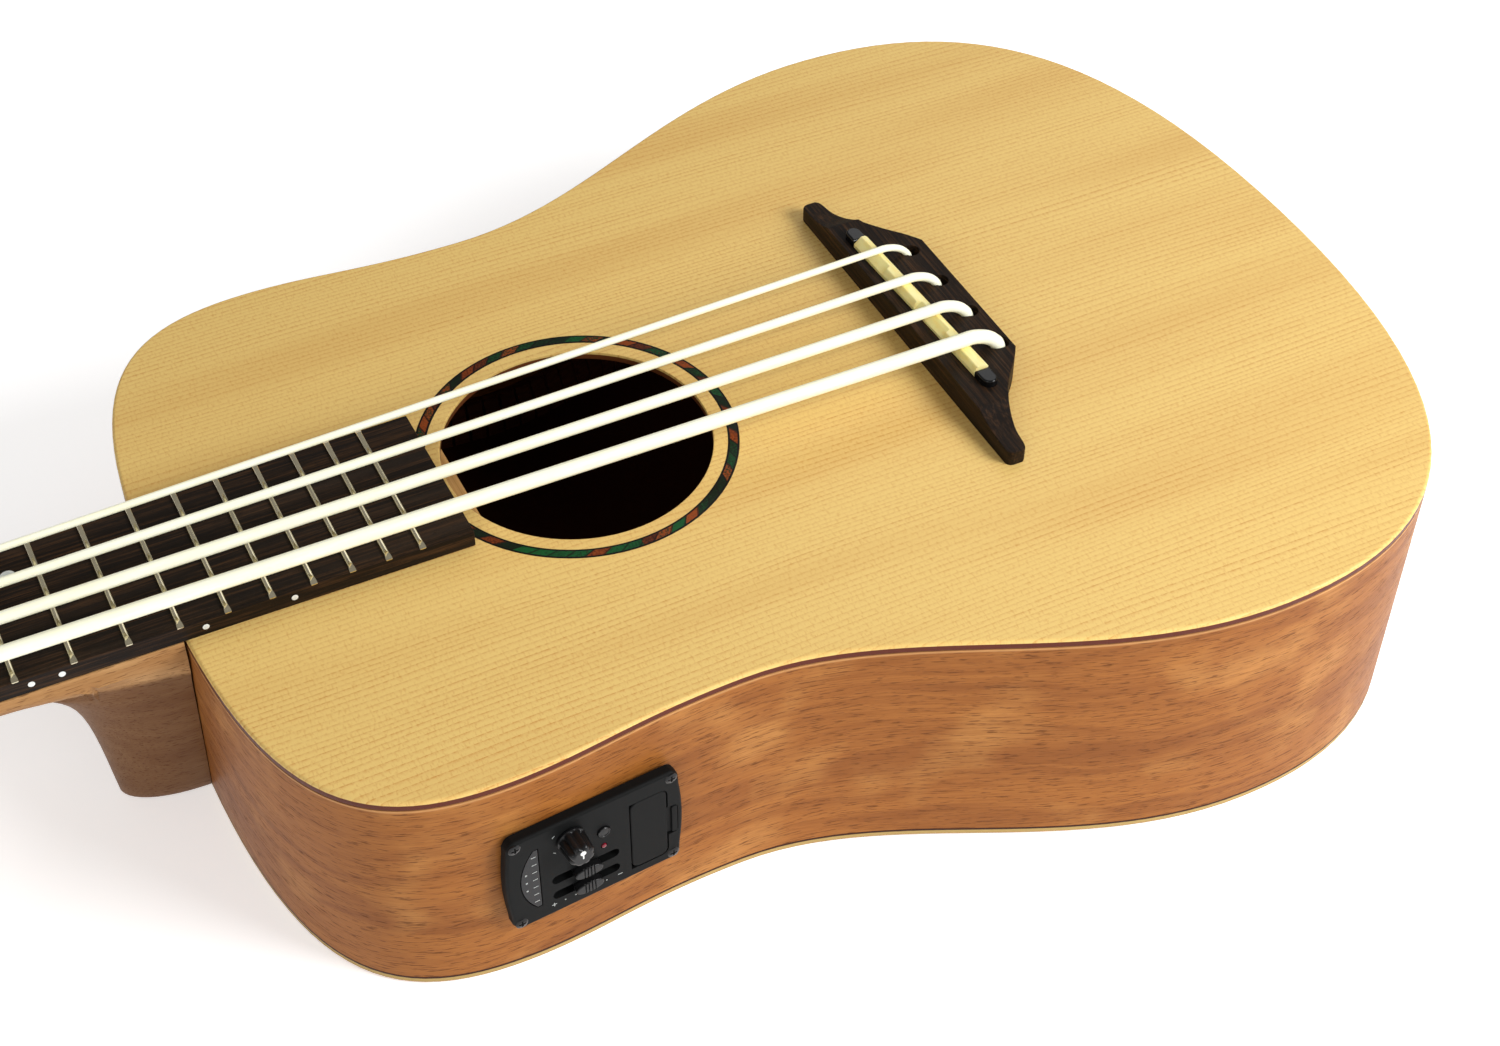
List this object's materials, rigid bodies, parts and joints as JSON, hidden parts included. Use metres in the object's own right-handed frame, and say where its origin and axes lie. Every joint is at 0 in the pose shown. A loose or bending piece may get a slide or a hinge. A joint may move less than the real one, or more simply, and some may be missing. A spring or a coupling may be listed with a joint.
{
  "type": "bass ukulele",
  "caption": "Short-scale acoustic bass ukulele with a spruce top, round sound hole, thick soft strings, side-mounted preamp and geared tuners.",
  "frame": {"origin": "middle of the back's outer face, under the body's centre line", "axes": "+Y from the tail to the head, +X to the treble side, +Z out of the back's plane through the top"},
  "size_m": [0.2914, 0.8357, 0.1027],
  "materials": {
    "spruce": "satin lacquer",
    "spruce_brace": "bare",
    "mahogany": "satin lacquer",
    "rosewood": "oiled",
    "bone": "polished",
    "mosaic": "inlaid mosaic under lacquer",
    "nickel": "plated",
    "steel": "brushed",
    "brass": "bare",
    "string": "satin",
    "black_plastic": "fine matte",
    "gloss_black": "gloss",
    "circuit": "solder mask",
    "red_lens": "translucent red",
    "lead_sleeve": "matte"
  },
  "bodies": {
    "body": {"soundboard": "spruce", "back_plate": "mahogany", "side_bass": "mahogany", "side_treble": "mahogany", "top_lining_bass": "spruce_brace", "top_lining_treble": "spruce_brace", "back_lining_bass": "spruce_brace", "back_lining_treble": "spruce_brace", "neck_block": "mahogany", "tail_block": "mahogany", "upper_brace": "spruce_brace", "lower_brace": "spruce_brace", "tail_brace": "spruce_brace", "back_brace_upper": "spruce_brace", "back_brace_lower": "spruce_brace", "fingerboard_patch": "spruce_brace", "bridge_plate": "mahogany", "rosette": "mosaic", "neck": "mahogany", "truss_rod": "steel", "headstock_veneer": "rosewood", "fingerboard": "rosewood", "nut": "bone", "bridge": "rosewood", "saddle": "bone", "pickup_strip": "brass", "saddle_plug_bass": "gloss_black", "saddle_plug_treble": "gloss_black", "string_E": "string", "string_A": "string", "string_D": "string", "string_G": "string", "tuner_plate_E": "nickel", "tuner_plate_A": "nickel", "tuner_plate_D": "nickel", "tuner_plate_G": "nickel", "preamp_panel": "black_plastic", "preamp_housing": "black_plastic", "preamp_circuit": "circuit", "lamp_lens": "red_lens", "display_window": "gloss_black", "battery_cell_inner": "steel", "battery_cell_outer": "steel", "output_jack": "steel", "jack_nut": "steel", "pickup_lead": "lead_sleeve", "jack_lead": "lead_sleeve"},
    "post_E": {"tuner_post_E": "nickel"},
    "post_A": {"tuner_post_A": "nickel"},
    "post_D": {"tuner_post_D": "nickel"},
    "post_G": {"tuner_post_G": "nickel"},
    "button_E": {"tuner_button_E": "nickel"},
    "button_A": {"tuner_button_A": "nickel"},
    "button_D": {"tuner_button_D": "nickel"},
    "button_G": {"tuner_button_G": "nickel"},
    "knob": {"volume_knob": "black_plastic"},
    "treble_slider": {"slider_treble": "black_plastic"},
    "bass_slider": {"slider_bass": "black_plastic"},
    "key": {"tuner_key": "black_plastic"},
    "door": {"battery_door": "black_plastic"}
  },
  "joints": [
    {"name": "button_E_turn", "type": "hinge", "parent": "body", "child": "button_E", "pos_m": [-0.023, 0.52159, 0.04156], "axis": [1, 0, 0], "continuous": true},
    {"name": "button_A_turn", "type": "hinge", "parent": "body", "child": "button_A", "pos_m": [-0.0175, 0.57988, 0.02732], "axis": [1, 0, 0], "continuous": true},
    {"name": "button_D_turn", "type": "hinge", "parent": "body", "child": "button_D", "pos_m": [0.0175, 0.57988, 0.02732], "axis": [1, 0, 0], "continuous": true},
    {"name": "button_G_turn", "type": "hinge", "parent": "body", "child": "button_G", "pos_m": [0.023, 0.52159, 0.04156], "axis": [1, 0, 0], "continuous": true},
    {"name": "post_E_turn", "type": "hinge", "parent": "body", "child": "post_E", "pos_m": [-0.023, 0.53552, 0.05874], "axis": [0, 0.2373, 0.9714], "continuous": true},
    {"name": "post_A_turn", "type": "hinge", "parent": "body", "child": "post_A", "pos_m": [-0.0175, 0.5938, 0.04451], "axis": [0, 0.2373, 0.9714], "continuous": true},
    {"name": "post_D_turn", "type": "hinge", "parent": "body", "child": "post_D", "pos_m": [0.0175, 0.5938, 0.04451], "axis": [0, 0.2373, 0.9714], "continuous": true},
    {"name": "post_G_turn", "type": "hinge", "parent": "body", "child": "post_G", "pos_m": [0.023, 0.53552, 0.05874], "axis": [0, 0.2373, 0.9714], "continuous": true},
    {"name": "volume_turn", "type": "hinge", "parent": "body", "child": "knob", "pos_m": [-0.11206, 0.11632, 0.05232], "axis": [-0.9971, -0.0763, 0.0023], "range_deg": [-150, 150]},
    {"name": "treble_slide", "type": "slide", "parent": "body", "child": "treble_slider", "axis": [0.0763, -0.9966, 0.03], "range_m": [-0.00625, 0.00625]},
    {"name": "bass_slide", "type": "slide", "parent": "body", "child": "bass_slider", "axis": [0.0763, -0.9966, 0.03], "range_m": [-0.00625, 0.00625]},
    {"name": "key_press", "type": "slide", "parent": "body", "child": "key", "axis": [0.9971, 0.0763, -0.0023], "range_m": [0, 0.0004], "stiffness_N_per_m": 150},
    {"name": "door_swing", "type": "hinge", "parent": "body", "child": "door", "pos_m": [-0.10981, 0.09716, 0.04199], "axis": [0, -0.0301, -0.9995], "range_deg": [0, 90]}
  ],
  "couplings": [
    {"joint": "post_E_turn", "follows": "button_E_turn", "ratio": 0.0625},
    {"joint": "post_A_turn", "follows": "button_A_turn", "ratio": 0.0625},
    {"joint": "post_D_turn", "follows": "button_D_turn", "ratio": -0.0625},
    {"joint": "post_G_turn", "follows": "button_G_turn", "ratio": -0.0625}
  ]
}
